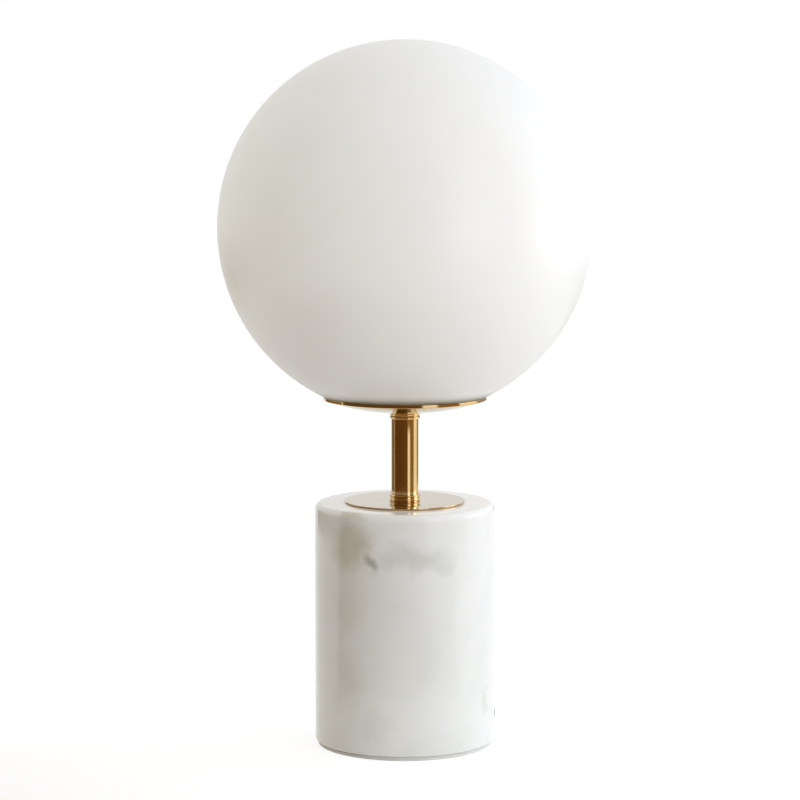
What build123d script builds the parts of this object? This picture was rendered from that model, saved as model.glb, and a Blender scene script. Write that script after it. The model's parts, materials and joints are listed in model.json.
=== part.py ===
from build123d import *
from math import cos, radians, sin, sqrt
import os

# Glass globe table lamp: an opal globe on a shallow brass dish, a brass stem with a ring
# collar at each end, a thin brass disc and a marble drum. One threaded tube clamps the stack.
# Millimetres, +Z up. The origin is on the lamp's axis, at the underside of the base pad.

# ---- Clearances ------------------------------------------------------------------------
hole_clearance = 0.1      # radial, a plain hole around what passes through it
thread_clearance = 0.05   # radial, a threaded hole around its thread
lift_clearance = 0.3      # between the globe and what it is lifted off
bulb_clearance = 0.2      # radial, around the bulb's cap as it is screwed out

# ---- Base: pad, marble drum and the recess under it --------------------------------------
pad_thickness = 2.2
pad_inset = 1.5           # the pad stands back from the marble's edge
pad_edge_round = 0.3
pad_top_bevel = 0.8       # leaves a thin shadow line under the marble
base_diameter = 97.0
base_height = 129.2
base_top_round = 3.5
base_foot_round = 1.0
base_bore_diameter = 12.0
recess_diameter = 60.0
recess_depth = 24.0

# ---- Cord inlet: a flat bush low on the side of the base ----------------------------------
inlet_angle = 9.0         # degrees from +X towards +Y
inlet_height = 14.5
lead_width = 5.2          # opening for a flat two-core lead
lead_height = 3.2
bush_wall = 0.4
bush_flange_lip = 0.5
bush_flange_proud = 0.7
bush_flange_round = 0.3
bush_reach = 1.5          # length of bush inside the recess

# ---- Threaded rod, nuts and washers --------------------------------------------------------
rod_diameter = 10.0
rod_bore_diameter = 7.0
rod_pitch = 1.0
rod_thread_depth = 0.35
rod_foot_length = 3.0     # rod left showing under the base nut
rod_entry_length = 8.0    # rod screwed into the lampholder
base_washer_diameter = 36.0
base_washer_thickness = 2.0
lock_washer_diameter = 18.0
lock_washer_thickness = 0.8
lock_washer_notches = 10
lock_washer_notch = 1.6
nut_across_flats = 14.0
nut_corner_chamfer = 0.9
base_nut_height = 5.0
dish_nut_height = 3.5

# ---- Brass disc, stem and collars ----------------------------------------------------------
disc_diameter = 64.5
disc_thickness = 1.0
disc_edge_round = 0.12
disc_undercut = 0.7       # bevel under the disc's edge
stem_diameter = 14.6
stem_wall = 1.0
stem_visible_length = 41.1
collar_wall = 0.95        # collar's greatest radius over the stem
lower_collar_neck = 0.2   # plain neck between a collar's seat and its first bead
upper_collar_neck = 1.2
collar_floor = 1.0        # web of the collar that the stem's end stands on
collar_ring = 1.3         # height of the rounded bead next to the neck
collar_groove = 0.6       # height of the groove between the two beads
collar_bead = 1.2         # height of the rounded bead next to the bare stem
collar_bulge = 0.45       # both beads stand out from the neck by this much

# ---- Globe and its dish ----------------------------------------------------------------------
globe_diameter = 200.0
globe_wall = 3.0
mouth_diameter = 87.6     # circle where the ground mouth meets the outside of the glass
mouth_opening_diameter = 78.0
mouth_edge_round = 0.4
mouth_outer_round = 3.0
dish_flat_radius = 12.0   # flat middle of the dish
dish_depth = 6.0          # from the flat middle up to the rim's lower edge
dish_wall = 1.3
rim_height = 1.8
rim_edge_round = 0.3
rim_underside = 0.9       # flat ring under the rim, outside the dish's curve
rim_overhang = 0.1        # rim's greatest radius over the glass mouth's
seat_width = 1.8          # flat ring that the glass stands on
seat_step = 1.0           # width of the slope inside that ring

# ---- Three-armed spring that centres the globe -------------------------------------------------
spring_thickness = 0.6
spring_hub_radius = 11.0
spring_arm_width = 8.0
spring_arm_count = 3
spring_arm_start = 1.0    # an arm leaves the dish this far inside its flat middle
spring_shoulder_inset = 3.4
spring_shoulder_rise = 4.6
spring_touch_rise = 7.0   # where the arm starts to face the glass, over the dish's floor
spring_touch_height = 2.0
spring_tip_inset = 2.6
spring_tip_rise = 3.6
spring_bend_radius = 1.2
spring_first_angle = 60.0

# ---- Lampholder for a small Edison-screw bulb ---------------------------------------------------
holder_diameter = 28.0
holder_wall = 1.8
cap_neck_diameter = 16.4
cap_neck_height = 7.0
cap_shoulder_height = 5.0
cap_height = 20.0
cap_web = 1.0             # plastic over the rod's end
cap_thread_depth = 6.0    # overlap of cap and body
cap_rest_wall = 1.5       # ring in the cap that carries the insert
grub_diameter = 3.0
grub_height = 4.0         # grub screw's height over the neck's lower face
grub_slot = 0.5
skirt_wall = 1.15         # body's threaded skirt inside the cap
holder_height = 36.0      # body above the cap
holder_lip = 1.5
holder_lip_opening = 18.4
holder_edge_round = 1.0
ledge_width = 1.2
ledge_thickness = 1.2
insert_rest_gap = 3.0     # insert's lower face below the cap's rim
insert_thickness = 8.0
insert_boss_diameter = 17.8
insert_boss_height = 2.0
shell_wall = 0.4
shell_turns = 6
shell_foot = 1.0          # plain length under the shell's thread
shell_tab_width = 3.0
contact_strip_width = 4.0
contact_strip_thickness = 0.4
contact_strip_offset = 5.2
contact_rise = 2.7        # contact's top face over the insert's boss
contact_flat = 1.8
contact_bend_radius = 0.8
terminal_size = 4.6
terminal_height = 6.0
terminal_offset = 7.0
terminal_screw_diameter = 2.4
terminal_screw_length = 3.0

# ---- Bulb --------------------------------------------------------------------------------------
bulb_length = 78.0
bulb_diameter = 45.0
bulb_thread_diameter = 13.9
bulb_thread_pitch = 2.822
bulb_thread_depth = 0.7
bulb_thread_turns = 5
bulb_cap_wall = 0.3
bulb_cap_height = 21.3
bulb_button_diameter = 4.8
bulb_button_height = 1.2
bulb_insulator_diameter = 6.0
bulb_insulator_height = 2.5
bulb_plug_length = 4.0    # housing's neck inside the cap
housing_neck_diameter = 15.2
housing_neck_height = 2.3
housing_bulge = 1.4
housing_height = 24.8
housing_rim_wall = 1.6
housing_core_diameter = 9.2
board_ledge = 1.4
board_thickness = 1.5
chip_count = 8
chip_size = 3.0
chip_height = 0.8
chip_ring_radius = 11.0
diffuser_wall = 1.2

# ---- Inner leads and the terminal block in the base ----------------------------------------------
core_lead_diameter = 2.0
core_diameter = 1.0
core_bare_length = 4.0
lead_spacing = 2.6        # between the two leads inside the rod
lead_foot_radius = 6.0
lead_head_radius = 5.0
block_near = 10.0         # block's inner end, from the lamp's axis
block_length = 15.0
block_width = 17.0
block_height = 11.0
block_pole_spacing = 8.5
block_port_height = 5.0   # ports' centre over the pad
block_edge_round = 0.8
sleeve_diameter = 4.4
sleeve_bore_diameter = 2.8
sleeve_inset = 1.0
block_screw_diameter = 2.6
block_screw_spacing = 7.0
block_screw_sunk = 1.2

os.makedirs("parts", exist_ok=True)

# ---- Heights, from the floor up --------------------------------------------------------------
recess_ceiling = pad_thickness + recess_depth
base_top = pad_thickness + base_height
disc_top = base_top + disc_thickness
stem_bottom = disc_top + collar_floor
collar_rings = collar_ring + collar_groove + collar_bead
lower_collar_top = disc_top + lower_collar_neck + collar_rings
upper_collar_bottom = lower_collar_top + stem_visible_length
dish_bottom = upper_collar_bottom + collar_rings + upper_collar_neck
stem_top = dish_bottom - collar_floor
seat_height = dish_bottom + dish_depth + rim_height
spring_bottom = dish_bottom + dish_wall
dish_washer_bottom = spring_bottom + spring_thickness
dish_nut_bottom = dish_washer_bottom + lock_washer_thickness
holder_bottom = dish_nut_bottom + dish_nut_height
base_washer_bottom = recess_ceiling - base_washer_thickness
base_lock_washer_bottom = base_washer_bottom - lock_washer_thickness
base_nut_bottom = base_lock_washer_bottom - base_nut_height
rod_bottom = base_nut_bottom - rod_foot_length
rod_top = holder_bottom + rod_entry_length
cap_top = holder_bottom + cap_height
insert_bottom = cap_top - insert_rest_gap
insert_top = insert_bottom + insert_thickness
boss_top = insert_top + insert_boss_height
bulb_bottom = boss_top + contact_rise
holder_top = cap_top + holder_height

# ---- Radii that several pieces share ----------------------------------------------------------
base_radius = base_diameter / 2
rod_radius = rod_diameter / 2
rod_hole_radius = rod_radius + hole_clearance
rod_thread_hole_radius = rod_radius + thread_clearance
stem_radius = stem_diameter / 2
collar_radius = stem_radius + collar_wall
holder_radius = holder_diameter / 2
bulb_thread_radius = bulb_thread_diameter / 2


def v_thread(radius, depth, pitch, bottom, top):
    """Outline of a V thread as rings, from bottom to top, for a profile turned about Z."""
    turns = int((top - bottom) / pitch)
    points = [(radius, bottom)]
    for turn in range(turns):
        points.append((radius - depth, bottom + (turn + 0.5) * pitch))
        points.append((radius, bottom + (turn + 1) * pitch))
    return points


def round_thread(middle, swing, pitch, bottom, turns):
    """Rounded thread as half-wave arcs, from bottom to top, for a profile turned about Z."""
    half = pitch / 2
    for step in range(2 * turns):
        start = bottom + step * half
        side = swing if step % 2 == 0 else -swing
        ThreePointArc((middle, start), (middle + side, start + half / 2), (middle, start + half))


def hexagon_nut(bottom, height):
    """Nut on the threaded rod, with its corners turned off at both faces."""
    corner = nut_across_flats / sqrt(3)
    face = corner - nut_corner_chamfer
    rise = nut_corner_chamfer / 2
    with BuildPart() as nut:
        with BuildSketch(Plane.XY.offset(bottom)):
            RegularPolygon(nut_across_flats / 2, 6, major_radius=False)
        extrude(amount=height)
        with BuildSketch(Plane.XZ):
            with BuildLine():
                Polyline(
                    (rod_thread_hole_radius, bottom), (face, bottom), (corner, bottom + rise),
                    (corner, bottom + height - rise), (face, bottom + height),
                    (rod_thread_hole_radius, bottom + height), close=True)
            make_face()
        revolve(axis=Axis.Z, mode=Mode.INTERSECT)
    return nut


def lock_washer(bottom):
    """Washer with a notched edge that bites into the piece beside it."""
    with BuildPart() as washer:
        with BuildSketch(Plane.XY.offset(bottom)):
            Circle(lock_washer_diameter / 2)
            Circle(rod_hole_radius, mode=Mode.SUBTRACT)
            with PolarLocations(lock_washer_diameter / 2, lock_washer_notches):
                Rectangle(2 * lock_washer_notch, lock_washer_notch, mode=Mode.SUBTRACT)
        extrude(amount=lock_washer_thickness)
    return washer


def collar(plane, neck):
    """Collar seated on a face: a neck, then two rounded beads with a groove between them."""
    neck_radius = collar_radius - collar_bulge
    bore_radius = stem_radius + thread_clearance
    ring_top = neck + collar_ring
    bead_bottom = ring_top + collar_groove
    height = bead_bottom + collar_bead
    with BuildPart() as ring:
        with BuildSketch(plane):
            with BuildLine():
                Polyline((rod_hole_radius, 0), (neck_radius, 0), (neck_radius, neck))
                ThreePointArc(
                    (neck_radius, neck), (collar_radius, neck + collar_ring / 2),
                    (neck_radius, ring_top))
                Line((neck_radius, ring_top), (neck_radius, bead_bottom))
                ThreePointArc(
                    (neck_radius, bead_bottom), (collar_radius, bead_bottom + collar_bead / 2),
                    (neck_radius, height))
                Polyline(
                    (neck_radius, height), (bore_radius, height), (bore_radius, collar_floor),
                    (rod_hole_radius, collar_floor), (rod_hole_radius, 0))
            make_face()
        revolve(axis=Axis.Z)
    return ring


# ---- Base --------------------------------------------------------------------------------------
with BuildPart() as base_pad:
    with BuildSketch():
        Circle(base_radius - pad_inset)
    extrude(amount=pad_thickness)
    fillet(base_pad.edges().sort_by(Axis.Z)[0], pad_edge_round)
    chamfer(base_pad.edges().sort_by(Axis.Z)[-1], pad_top_bevel)
base_pad.part.label = "base_pad"
export_step(base_pad.part, "parts/base_pad.step")

inlet_direction = Vector(cos(radians(inlet_angle)), sin(radians(inlet_angle)), 0)
inlet_plane = Plane(
    origin=(0, 0, inlet_height),
    x_dir=(-inlet_direction.Y, inlet_direction.X, 0),
    z_dir=inlet_direction)
shank_width = lead_width + 2 * bush_wall
shank_height = lead_height + 2 * bush_wall

with BuildPart() as marble_base:
    with BuildSketch(Plane.XY.offset(pad_thickness)):
        Circle(base_radius)
    extrude(amount=base_height)
    fillet(marble_base.edges().sort_by(Axis.Z)[-1], base_top_round)
    fillet(marble_base.edges().sort_by(Axis.Z)[0], base_foot_round)
    with BuildSketch(Plane.XY.offset(pad_thickness)):
        Circle(recess_diameter / 2)
    extrude(amount=recess_depth, mode=Mode.SUBTRACT)
    with BuildSketch(Plane.XY.offset(pad_thickness)):
        Circle(base_bore_diameter / 2)
    extrude(amount=base_height, mode=Mode.SUBTRACT)
    with BuildSketch(inlet_plane):
        SlotOverall(shank_width + 2 * hole_clearance, shank_height + 2 * hole_clearance)
    extrude(amount=base_diameter, mode=Mode.SUBTRACT)
marble_base.part.label = "marble_base"
export_step(marble_base.part, "parts/marble_base.step")

bush_start = recess_diameter / 2 - bush_reach
bush_end = base_radius + bush_flange_proud
with BuildPart() as cord_bush:
    with BuildSketch(inlet_plane.offset(bush_start)):
        SlotOverall(shank_width + 2 * bush_flange_lip, shank_height + 2 * bush_flange_lip)
    extrude(amount=bush_end - bush_start)
    fillet(cord_bush.faces().sort_by(Axis(inlet_plane.origin, inlet_direction))[-1].edges(),
           bush_flange_round)
    with BuildSketch():
        Circle(base_radius)
    extrude(amount=base_height, mode=Mode.SUBTRACT)
    with BuildSketch(inlet_plane.offset(bush_start)):
        SlotOverall(shank_width, shank_height)
    extrude(amount=base_radius + bush_flange_proud / 2 - bush_start)
    with BuildSketch(inlet_plane.offset(bush_start)):
        SlotOverall(lead_width, lead_height)
    extrude(amount=bush_end - bush_start, mode=Mode.SUBTRACT)
cord_bush.part.label = "cord_bush"
export_step(cord_bush.part, "parts/cord_bush.step")

# ---- Clamping stack on the threaded rod ----------------------------------------------------------
with BuildPart() as base_washer:
    with BuildSketch(Plane.XY.offset(base_washer_bottom)):
        Circle(base_washer_diameter / 2)
        Circle(rod_hole_radius, mode=Mode.SUBTRACT)
    extrude(amount=base_washer_thickness)
base_washer.part.label = "base_washer"
export_step(base_washer.part, "parts/base_washer.step")

base_lock_washer = lock_washer(base_lock_washer_bottom)
base_lock_washer.part.label = "base_lock_washer"
export_step(base_lock_washer.part, "parts/base_lock_washer.step")

base_nut = hexagon_nut(base_nut_bottom, base_nut_height)
base_nut.part.label = "base_nut"
export_step(base_nut.part, "parts/base_nut.step")

lower_thread = v_thread(rod_radius, rod_thread_depth, rod_pitch, rod_bottom, recess_ceiling)
upper_thread = v_thread(rod_radius, rod_thread_depth, rod_pitch, spring_bottom, rod_top)
rod_bore_radius = rod_bore_diameter / 2
with BuildPart() as threaded_rod:
    with BuildSketch(Plane.XZ):
        with BuildLine():
            Polyline(
                (rod_bore_radius, rod_bottom), *lower_thread, *upper_thread,
                (rod_radius - rod_thread_depth, rod_top), (rod_bore_radius, rod_top), close=True)
        make_face()
    revolve(axis=Axis.Z)
threaded_rod.part.label = "threaded_rod"
export_step(threaded_rod.part, "parts/threaded_rod.step")

# ---- Brass disc, collars and stem ------------------------------------------------------------------
with BuildPart() as base_disc:
    with BuildSketch(Plane.XY.offset(base_top)):
        Circle(disc_diameter / 2)
    extrude(amount=disc_thickness)
    fillet(base_disc.edges().sort_by(Axis.Z)[-1], disc_edge_round)
    chamfer(base_disc.edges().sort_by(Axis.Z)[0], disc_undercut)
    with BuildSketch(Plane.XY.offset(base_top)):
        Circle(rod_hole_radius)
    extrude(amount=disc_thickness, mode=Mode.SUBTRACT)
base_disc.part.label = "base_disc"
export_step(base_disc.part, "parts/base_disc.step")

disc_face = Plane(origin=(0, 0, disc_top), x_dir=(1, 0, 0), z_dir=(0, -1, 0))
lower_collar = collar(disc_face, lower_collar_neck)
lower_collar.part.label = "lower_collar"
export_step(lower_collar.part, "parts/lower_collar.step")

with BuildPart() as stem_tube:
    with BuildSketch(Plane.XY.offset(stem_bottom)):
        Circle(stem_radius)
        Circle(stem_radius - stem_wall, mode=Mode.SUBTRACT)
    extrude(amount=stem_top - stem_bottom)
stem_tube.part.label = "stem_tube"
export_step(stem_tube.part, "parts/stem_tube.step")

dish_face = Plane(origin=(0, 0, dish_bottom), x_dir=(1, 0, 0), z_dir=(0, 1, 0))
upper_collar = collar(dish_face, upper_collar_neck)
upper_collar.part.label = "upper_collar"
export_step(upper_collar.part, "parts/upper_collar.step")

# ---- Dish under the globe --------------------------------------------------------------------------
rim_bottom = dish_bottom + dish_depth
rim_radius = mouth_diameter / 2 + rim_overhang
rim_root = rim_radius - rim_underside
curve_run = rim_root - dish_flat_radius
curve_radius = (curve_run ** 2 + dish_depth ** 2) / (2 * dish_depth)
seat_inner = rim_root - seat_width
bowl_edge = seat_inner - seat_step
bowl_edge_drop = sqrt((curve_radius - dish_wall) ** 2 - (bowl_edge - dish_flat_radius) ** 2)
bowl_edge_height = dish_bottom + curve_radius - bowl_edge_drop

with BuildPart() as globe_dish:
    with BuildSketch(Plane.XZ):
        with BuildLine():
            Line((rod_hole_radius, dish_bottom), (dish_flat_radius, dish_bottom))
            TangentArc(
                (dish_flat_radius, dish_bottom), (rim_root, rim_bottom), tangent=(1, 0))
            FilletPolyline(
                (rim_root, rim_bottom), (rim_radius, rim_bottom), (rim_radius, seat_height),
                (seat_inner, seat_height), radius=rim_edge_round)
            Line((seat_inner, seat_height), (bowl_edge, bowl_edge_height))
            TangentArc(
                (dish_flat_radius, spring_bottom), (bowl_edge, bowl_edge_height), tangent=(1, 0))
            Polyline(
                (dish_flat_radius, spring_bottom), (rod_hole_radius, spring_bottom),
                (rod_hole_radius, dish_bottom))
        make_face()
    revolve(axis=Axis.Z)
globe_dish.part.label = "globe_dish"
export_step(globe_dish.part, "parts/globe_dish.step")

# ---- Three-armed spring ------------------------------------------------------------------------------
spring_middle = spring_bottom + spring_thickness / 2
spring_reach = mouth_opening_diameter / 2 - lift_clearance - spring_thickness / 2
touch_bottom = spring_bottom + spring_touch_rise
touch_top = touch_bottom + spring_touch_height
with BuildPart() as spring_arm:
    with BuildSketch(Plane.XZ):
        with BuildLine():
            FilletPolyline(
                (rod_radius + spring_thickness, spring_middle),
                (dish_flat_radius - spring_arm_start, spring_middle),
                (spring_reach - spring_shoulder_inset, spring_middle + spring_shoulder_rise),
                (spring_reach, touch_bottom),
                (spring_reach, touch_top),
                (spring_reach - spring_tip_inset, touch_top + spring_tip_rise),
                radius=spring_bend_radius)
        trace(line_width=spring_thickness)
    extrude(amount=spring_arm_width / 2, both=True)

with BuildPart() as globe_spring:
    with BuildSketch(Plane.XY.offset(spring_bottom)):
        Circle(spring_hub_radius)
    extrude(amount=spring_thickness)
    with PolarLocations(0, spring_arm_count, start_angle=spring_first_angle):
        add(spring_arm.part)
    with BuildSketch(Plane.XY.offset(spring_bottom)):
        Circle(rod_hole_radius)
    extrude(amount=spring_thickness, mode=Mode.SUBTRACT)
globe_spring.part.label = "globe_spring"
export_step(globe_spring.part, "parts/globe_spring.step")

dish_lock_washer = lock_washer(dish_washer_bottom)
dish_lock_washer.part.label = "dish_lock_washer"
export_step(dish_lock_washer.part, "parts/dish_lock_washer.step")

dish_nut = hexagon_nut(dish_nut_bottom, dish_nut_height)
dish_nut.part.label = "dish_nut"
export_step(dish_nut.part, "parts/dish_nut.step")

# ---- Globe ---------------------------------------------------------------------------------------------
globe_radius = globe_diameter / 2
mouth_radius = mouth_diameter / 2
globe_centre = seat_height + sqrt(globe_radius ** 2 - mouth_radius ** 2)
with BuildPart() as globe_glass:
    with Locations((0, 0, globe_centre)):
        Sphere(globe_radius)
        Sphere(globe_radius - globe_wall, mode=Mode.SUBTRACT)
    with BuildSketch(Plane.XY.offset(seat_height)):
        Circle(globe_radius)
    extrude(amount=-globe_radius, mode=Mode.SUBTRACT)
    with BuildSketch(Plane.XY.offset(seat_height)):
        Circle(mouth_opening_diameter / 2)
    extrude(amount=globe_radius / 2, mode=Mode.SUBTRACT)
    mouth_edges = globe_glass.edges().filter_by(GeomType.CIRCLE).group_by(Axis.Z)[0]
    fillet(mouth_edges.sort_by(SortBy.RADIUS)[-1], mouth_outer_round)
    mouth_edges = globe_glass.edges().filter_by(GeomType.CIRCLE).group_by(Axis.Z)[0]
    fillet(mouth_edges.sort_by(SortBy.RADIUS)[0], mouth_edge_round)
globe_glass.part.label = "globe_glass"
export_step(globe_glass.part, "parts/globe_glass.step")

# ---- Lampholder -------------------------------------------------------------------------------------------
neck_radius = cap_neck_diameter / 2
neck_top = holder_bottom + cap_neck_height
shoulder_top = neck_top + cap_shoulder_height
cap_bore_radius = holder_radius - holder_wall + hole_clearance
skirt_radius = cap_bore_radius - thread_clearance
skirt_bore_radius = skirt_radius - skirt_wall
insert_radius = skirt_bore_radius - hole_clearance
cap_floor = cap_top - cap_thread_depth - hole_clearance
rest_radius = insert_radius - hole_clearance
web_top = rod_top + cap_web
with BuildPart() as lampholder_cap:
    with BuildSketch(Plane.XZ):
        with BuildLine():
            Polyline(
                (rod_thread_hole_radius, holder_bottom), (neck_radius, holder_bottom),
                (neck_radius, neck_top))
            TangentArc((neck_radius, neck_top), (holder_radius, shoulder_top), tangent=(1, 0.2))
            Polyline(
                (holder_radius, shoulder_top), (holder_radius, cap_top),
                (cap_bore_radius, cap_top), (cap_bore_radius, cap_floor),
                (rest_radius, cap_floor), (rest_radius, insert_bottom),
                (rest_radius - cap_rest_wall, insert_bottom),
                (rest_radius - cap_rest_wall, shoulder_top + cap_web),
                (rod_radius + cap_rest_wall, web_top), (rod_thread_hole_radius, web_top),
                (rod_thread_hole_radius, holder_bottom))
        make_face()
    revolve(axis=Axis.Z)
    with BuildSketch(Plane.YZ):
        with Locations((0, holder_bottom + grub_height)):
            Circle(grub_diameter / 2 + thread_clearance)
    extrude(amount=holder_radius, mode=Mode.SUBTRACT)
lampholder_cap.part.label = "lampholder_cap"
export_step(lampholder_cap.part, "parts/lampholder_cap.step")

with BuildPart() as cap_grub_screw:
    with BuildSketch(Plane.YZ.offset(rod_thread_hole_radius)):
        with Locations((0, holder_bottom + grub_height)):
            Circle(grub_diameter / 2)
    extrude(amount=neck_radius - rod_thread_hole_radius)
    with BuildSketch(Plane.YZ.offset(neck_radius)):
        with Locations((0, holder_bottom + grub_height)):
            Rectangle(grub_diameter * 2, grub_slot)
    extrude(amount=-2 * grub_slot, mode=Mode.SUBTRACT)
cap_grub_screw.part.label = "cap_grub_screw"
export_step(cap_grub_screw.part, "parts/cap_grub_screw.step")

ledge_radius = insert_radius - ledge_width
lip_radius = holder_lip_opening / 2
holder_bore_radius = holder_radius - holder_wall
ledge_top = insert_top + ledge_thickness
with BuildPart() as lampholder_body:
    with BuildSketch(Plane.XZ):
        with BuildLine():
            Polyline(
                (skirt_bore_radius, cap_top - cap_thread_depth),
                (skirt_radius, cap_top - cap_thread_depth), (skirt_radius, cap_top),
                (holder_radius, cap_top), (holder_radius, holder_top), (lip_radius, holder_top),
                (lip_radius, holder_top - holder_lip),
                (holder_bore_radius, holder_top - holder_lip), (holder_bore_radius, ledge_top),
                (ledge_radius, ledge_top), (ledge_radius, insert_top),
                (skirt_bore_radius, insert_top), close=True)
        make_face()
    revolve(axis=Axis.Z)
    top_edges = lampholder_body.edges().filter_by(GeomType.CIRCLE).group_by(Axis.Z)[-1]
    fillet(top_edges.sort_by(SortBy.RADIUS)[-1], holder_edge_round)
lampholder_body.part.label = "lampholder_body"
export_step(lampholder_body.part, "parts/lampholder_body.step")

terminal_top = insert_bottom + terminal_height
terminal_screw_height = insert_bottom + terminal_height / 2
shell_crest = bulb_thread_radius + bulb_clearance
shell_middle = shell_crest + bulb_thread_depth / 2
shell_radius = shell_middle + shell_wall
terminal_centres = [(0, terminal_offset), (0, -terminal_offset)]


def shell_tab_outline(clearance):
    """Curved section of the tab under the screw shell, or of the slot around it."""
    Circle(shell_radius + clearance)
    Circle(shell_middle - clearance, mode=Mode.SUBTRACT)
    with Locations((0, -shell_radius)):
        Rectangle(shell_tab_width + 2 * clearance, shell_radius, mode=Mode.INTERSECT)


with BuildPart() as lampholder_insert:
    with BuildSketch(Plane.XY.offset(insert_bottom)):
        Circle(insert_radius)
    extrude(amount=insert_thickness)
    with BuildSketch(Plane.XY.offset(insert_top)):
        Circle(insert_boss_diameter / 2)
    extrude(amount=insert_boss_height)
    with BuildSketch(Plane.XY.offset(insert_bottom)):
        with Locations(*terminal_centres):
            Rectangle(terminal_size + 2 * thread_clearance, terminal_size + 2 * thread_clearance)
    extrude(amount=terminal_height, mode=Mode.SUBTRACT)
    with BuildSketch(Plane.XY.offset(insert_bottom)):
        with Locations((0, contact_strip_offset)):
            Rectangle(
                contact_strip_width + 2 * thread_clearance,
                contact_strip_thickness + 2 * thread_clearance)
    extrude(amount=boss_top - insert_bottom, mode=Mode.SUBTRACT)
    with BuildSketch(Plane.XY.offset(terminal_top)):
        shell_tab_outline(thread_clearance)
    extrude(amount=boss_top - terminal_top, mode=Mode.SUBTRACT)
    with BuildSketch(Plane.XZ):
        with Locations((0, terminal_screw_height)):
            Circle(terminal_screw_diameter / 2 + thread_clearance)
    extrude(amount=holder_radius, both=True, mode=Mode.SUBTRACT)
lampholder_insert.part.label = "lampholder_insert"
export_step(lampholder_insert.part, "parts/lampholder_insert.step")

with BuildPart() as lampholder_terminals:
    with BuildSketch(Plane.XY.offset(insert_bottom)):
        with Locations(*terminal_centres):
            Rectangle(terminal_size, terminal_size)
            Circle(core_diameter / 2 + thread_clearance, mode=Mode.SUBTRACT)
    extrude(amount=terminal_height)
    with BuildSketch(Plane.XZ):
        with Locations((0, terminal_screw_height)):
            Circle(terminal_screw_diameter / 2 + thread_clearance)
    extrude(amount=holder_radius, both=True, mode=Mode.SUBTRACT)
lampholder_terminals.part.label = "lampholder_terminals"
export_step(lampholder_terminals.part, "parts/lampholder_terminals.step")

terminal_screw_tip = terminal_offset + core_diameter / 2 + thread_clearance
with BuildPart() as terminal_screws:
    for facing in (1, -1):
        screw_plane = Plane(
            origin=(0, facing * terminal_screw_tip, terminal_screw_height),
            x_dir=(1, 0, 0), z_dir=(0, facing, 0))
        with BuildSketch(screw_plane):
            Circle(terminal_screw_diameter / 2)
        extrude(amount=terminal_screw_length)
        with BuildSketch(screw_plane.offset(terminal_screw_length)):
            Rectangle(terminal_screw_diameter * 2, grub_slot)
        extrude(amount=-grub_slot, mode=Mode.SUBTRACT)
terminal_screws.part.label = "terminal_screws"
export_step(terminal_screws.part, "parts/terminal_screws.step")

shell_thread_bottom = boss_top + shell_foot
shell_top = shell_thread_bottom + shell_turns * bulb_thread_pitch
with BuildPart() as screw_shell:
    with BuildSketch(Plane.XZ):
        with BuildLine():
            round_thread(shell_middle, bulb_thread_depth / 2, bulb_thread_pitch,
                         shell_thread_bottom, shell_turns)
            round_thread(shell_radius, bulb_thread_depth / 2, bulb_thread_pitch,
                         shell_thread_bottom, shell_turns)
            Polyline(
                (shell_middle, shell_thread_bottom), (shell_middle, boss_top),
                (shell_radius, boss_top), (shell_radius, shell_thread_bottom))
            Line((shell_middle, shell_top), (shell_radius, shell_top))
        make_face()
    revolve(axis=Axis.Z)
    with BuildSketch(Plane.XY.offset(terminal_top)):
        shell_tab_outline(0)
    extrude(amount=boss_top - terminal_top)
screw_shell.part.label = "screw_shell"
export_step(screw_shell.part, "parts/screw_shell.step")

strip_middle = bulb_bottom - contact_strip_thickness / 2
with BuildPart() as centre_contact:
    with BuildSketch(Plane.YZ):
        with BuildLine():
            FilletPolyline(
                (contact_strip_offset, terminal_top),
                (contact_strip_offset, (boss_top + bulb_bottom) / 2),
                (contact_flat, strip_middle),
                (-contact_flat, strip_middle),
                radius=contact_bend_radius)
        trace(line_width=contact_strip_thickness)
    extrude(amount=contact_strip_width / 2, both=True)
centre_contact.part.label = "centre_contact"
export_step(centre_contact.part, "parts/centre_contact.step")

# ---- Bulb ----------------------------------------------------------------------------------------------
button_top = bulb_bottom + bulb_button_height
insulator_top = button_top + bulb_insulator_height
bulb_cap_top = insulator_top + bulb_cap_height
housing_top = bulb_cap_top + housing_height
cap_middle = bulb_thread_radius - bulb_thread_depth / 2
cap_inner = cap_middle - bulb_cap_wall
cap_thread_bottom = insulator_top + bulb_thread_pitch / 4
cap_thread_top = cap_thread_bottom + bulb_thread_turns * bulb_thread_pitch
plug_radius = cap_inner - hole_clearance

with BuildPart() as bulb_contact:
    with BuildSketch(Plane.XY.offset(bulb_bottom)):
        Circle(bulb_button_diameter / 2)
    extrude(amount=bulb_button_height)
    fillet(bulb_contact.edges().sort_by(Axis.Z)[0], bulb_button_height / 2)
bulb_contact.part.label = "bulb_contact"
export_step(bulb_contact.part, "parts/bulb_contact.step")

with BuildPart() as bulb_insulator:
    with BuildSketch(Plane.XZ):
        with BuildLine():
            Polyline(
                (0, button_top), (bulb_insulator_diameter / 2, button_top),
                (cap_inner, insulator_top), (cap_inner - bulb_cap_wall, insulator_top),
                (cap_inner - bulb_cap_wall, cap_thread_bottom + bulb_button_height),
                (0, cap_thread_bottom + bulb_button_height), close=True)
        make_face()
    revolve(axis=Axis.Z)
bulb_insulator.part.label = "bulb_insulator"
export_step(bulb_insulator.part, "parts/bulb_insulator.step")

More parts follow.
